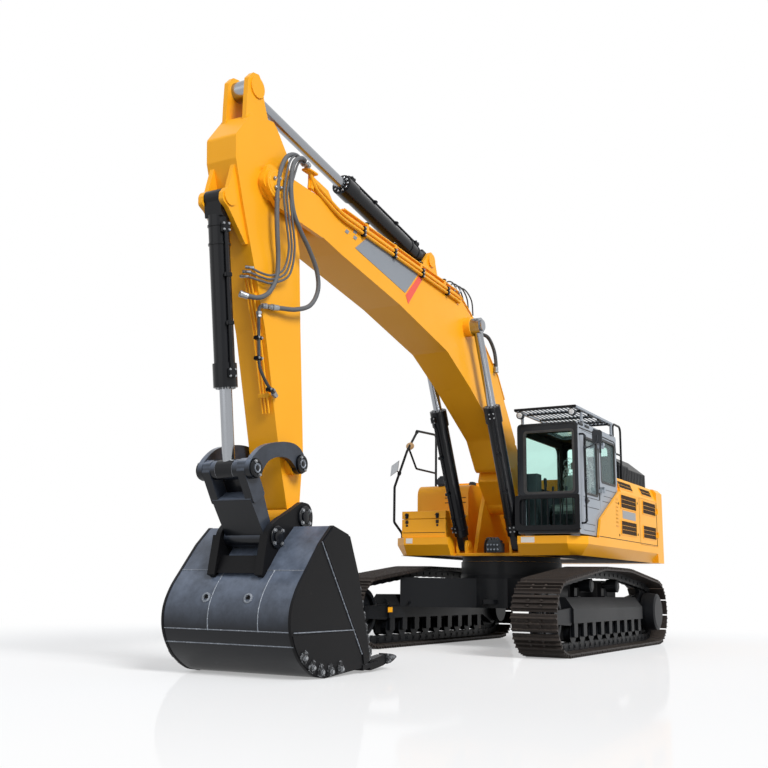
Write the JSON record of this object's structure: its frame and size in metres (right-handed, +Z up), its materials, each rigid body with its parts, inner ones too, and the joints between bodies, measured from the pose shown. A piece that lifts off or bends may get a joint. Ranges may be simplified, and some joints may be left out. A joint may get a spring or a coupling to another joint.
{
  "type": "crawler excavator",
  "caption": "Crawler excavator on two tracks: slewing upper structure with cab and counterweight, gooseneck boom, arm and digging bucket worked by cylinders.",
  "frame": {"origin": "On the ground under the middle of the machine's overall length and width, with the slewing axis 1.85 m behind it.", "axes": "+X points forward along the boom, +Y to the cab side, +Z up."},
  "size_m": [11.0921, 3.442, 5.9263],
  "materials": {
    "attachment_black": "attachment black",
    "black_paint": "black paint",
    "cab_grey": "cab grey",
    "chrome_rod": "chrome rod",
    "engine_iron": "engine iron",
    "glass": "glass",
    "seat_cloth": "seat cloth",
    "track_steel": "track steel",
    "undercarriage_black": "undercarriage black",
    "yellow_paint": "yellow paint"
  },
  "bodies": {
    "undercarriage": {"bottom_rollers_left": "undercarriage_black", "bottom_rollers_right": "undercarriage_black", "carbody": "undercarriage_black", "carbody_legs": "undercarriage_black", "carrier_rollers_left": "undercarriage_black", "carrier_rollers_right": "undercarriage_black", "final_drive_left": "undercarriage_black", "final_drive_right": "undercarriage_black", "idler_left": "undercarriage_black", "idler_right": "undercarriage_black", "slew_bearing": "undercarriage_black", "track_frame_left": "undercarriage_black", "track_frame_right": "undercarriage_black", "track_left": "track_steel", "track_right": "track_steel"},
    "upper": {"air_boxes": "black_paint", "cab_body": "cab_grey", "cab_glass": "glass", "cab_handrail": "black_paint", "cab_lamps": "black_paint", "cab_rear_rail": "black_paint", "control_consoles": "black_paint", "counterweight": "yellow_paint", "engine_block": "engine_iron", "engine_hood": "yellow_paint", "front_guard": "black_paint", "fuel_tank": "yellow_paint", "mirror_left": "black_paint", "mirror_right": "black_paint", "revolving_frame": "yellow_paint", "right_handrail": "black_paint", "roof_guard": "black_paint", "seat": "seat_cloth", "side_panel_left": "yellow_paint", "side_panel_right": "yellow_paint", "toolbox": "yellow_paint"},
    "boom": {"boom": "yellow_paint", "boom_lamp": "black_paint", "boom_pipes": "yellow_paint"},
    "arm": {"arm": "yellow_paint", "arm_pipes": "yellow_paint"},
    "bucket": {"bucket": "attachment_black"},
    "rocker": {"rocker": "attachment_black"},
    "link": {"bucket_link": "attachment_black"},
    "boom_barrel_left": {"boom_cylinder_left": "attachment_black"},
    "boom_barrel_right": {"boom_cylinder_right": "attachment_black"},
    "boom_rod_left": {"boom_cylinder_rod_left": "chrome_rod"},
    "boom_rod_right": {"boom_cylinder_rod_right": "chrome_rod"},
    "arm_barrel": {"arm_cylinder": "attachment_black"},
    "arm_rod": {"arm_cylinder_rod": "chrome_rod"},
    "bucket_barrel": {"bucket_cylinder": "attachment_black"},
    "bucket_rod": {"bucket_cylinder_rod": "chrome_rod"},
    "cab_door": {"cab_door": "cab_grey", "cab_door_glass": "glass"},
    "engine_door_left": {"engine_door_left": "yellow_paint"},
    "engine_door_right": {"engine_door_right": "yellow_paint"},
    "hood_lid": {"hood_lid": "yellow_paint"},
    "toolbox_lid": {"toolbox_lid": "yellow_paint"}
  },
  "joints": [
    {"name": "slewing", "type": "hinge", "parent": "undercarriage", "child": "upper", "pos_m": [-1.85, 0, 1.26], "axis": [0, 0, 1], "continuous": true},
    {"name": "boom_hinge", "type": "hinge", "parent": "upper", "child": "boom", "pos_m": [-1.7, 0, 2.15], "axis": [0, -1, 0], "range_deg": [-66, 40]},
    {"name": "arm_hinge", "type": "hinge", "parent": "boom", "child": "arm", "pos_m": [4.92427, 0, 4.79282], "axis": [0, 1, 0], "range_deg": [-83, 14]},
    {"name": "bucket_hinge", "type": "hinge", "parent": "arm", "child": "bucket", "pos_m": [4.28181, 0, 1.50296], "axis": [0, 1, 0], "range_deg": [-60, 100]},
    {"name": "boom_cylinder_left_hinge", "type": "hinge", "parent": "upper", "child": "boom_barrel_left", "pos_m": [-1.037, 0.42, 1.45], "axis": [0, -1, 0], "range_deg": [-62.96, 38.16]},
    {"name": "boom_cylinder_left_slide", "type": "slide", "parent": "boom_barrel_left", "child": "boom_rod_left", "axis": [0.42, 0, 0.9075], "range_m": [-1.00913, 0.61163]},
    {"name": "boom_cylinder_right_hinge", "type": "hinge", "parent": "upper", "child": "boom_barrel_right", "pos_m": [-1.037, -0.42, 1.45], "axis": [0, -1, 0], "range_deg": [-62.96, 38.16]},
    {"name": "boom_cylinder_right_slide", "type": "slide", "parent": "boom_barrel_right", "child": "boom_rod_right", "axis": [0.42, 0, 0.9075], "range_m": [-1.00913, 0.61163]},
    {"name": "arm_cylinder_hinge", "type": "hinge", "parent": "boom", "child": "arm_barrel", "pos_m": [1.19988, 0, 5.12001], "axis": [0, 1, 0], "range_deg": [-0.83, 4.9]},
    {"name": "arm_cylinder_slide", "type": "slide", "parent": "arm_barrel", "child": "arm_rod", "axis": [0.9863, 0, 0.1648], "range_m": [-1.30181, 0.21967]},
    {"name": "bucket_cylinder_hinge", "type": "hinge", "parent": "arm", "child": "bucket_barrel", "pos_m": [5.47757, 0, 4.47997], "axis": [0, 1, 0], "range_deg": [-2.05, 3.41]},
    {"name": "bucket_cylinder_slide", "type": "slide", "parent": "bucket_barrel", "child": "bucket_rod", "axis": [-0.1411, 0, -0.99], "range_m": [-0.45608, 0.76007]},
    {"name": "rocker_hinge", "type": "hinge", "parent": "arm", "child": "rocker", "pos_m": [4.3628, 0, 2.02206], "axis": [0, 1, 0], "range_deg": [-37.76, 62.92]},
    {"name": "bucket_link_hinge", "type": "hinge", "parent": "bucket", "child": "link", "pos_m": [4.73681, 0, 1.28296], "axis": [0, 1, 0], "range_deg": [-66.01, 39.61]},
    {"name": "cab_door_hinge", "type": "hinge", "parent": "upper", "child": "cab_door", "pos_m": [-1.7, 1.532, 2.4], "axis": [0, 0, 1], "range_deg": [0, 165]},
    {"name": "engine_door_left_hinge", "type": "hinge", "parent": "upper", "child": "engine_door_left", "pos_m": [-4.71, 1.526, 1.95], "axis": [0, 0, 1], "range_deg": [0, 100]},
    {"name": "engine_door_right_hinge", "type": "hinge", "parent": "upper", "child": "engine_door_right", "pos_m": [-4.71, -1.526, 1.95], "axis": [0, 0, -1], "range_deg": [0, 100]},
    {"name": "hood_lid_hinge", "type": "hinge", "parent": "upper", "child": "hood_lid", "pos_m": [-4.63, 0, 2.58], "axis": [0, -1, 0], "range_deg": [0, 60]},
    {"name": "toolbox_lid_hinge", "type": "hinge", "parent": "upper", "child": "toolbox_lid", "pos_m": [-1.52, -0.965, 1.98], "axis": [0, -1, 0], "range_deg": [0, 80]}
  ],
  "couplings": [
    {"joint": "boom_cylinder_left_hinge", "follows": "boom_hinge", "ratio": 0.95386},
    {"joint": "boom_cylinder_left_slide", "follows": "boom_hinge", "m_per_rad": 0.87596},
    {"joint": "boom_cylinder_right_hinge", "follows": "boom_hinge", "ratio": 0.95386},
    {"joint": "boom_cylinder_right_slide", "follows": "boom_hinge", "m_per_rad": 0.87596},
    {"joint": "arm_cylinder_hinge", "follows": "arm_hinge", "ratio": -0.05891},
    {"joint": "arm_cylinder_slide", "follows": "arm_hinge", "m_per_rad": 0.89858},
    {"joint": "bucket_cylinder_hinge", "follows": "bucket_hinge", "ratio": 0.03403},
    {"joint": "bucket_cylinder_slide", "follows": "bucket_hinge", "m_per_rad": 0.43543},
    {"joint": "rocker_hinge", "follows": "bucket_hinge", "ratio": 0.62914},
    {"joint": "bucket_link_hinge", "follows": "bucket_hinge", "ratio": -0.66}
  ]
}
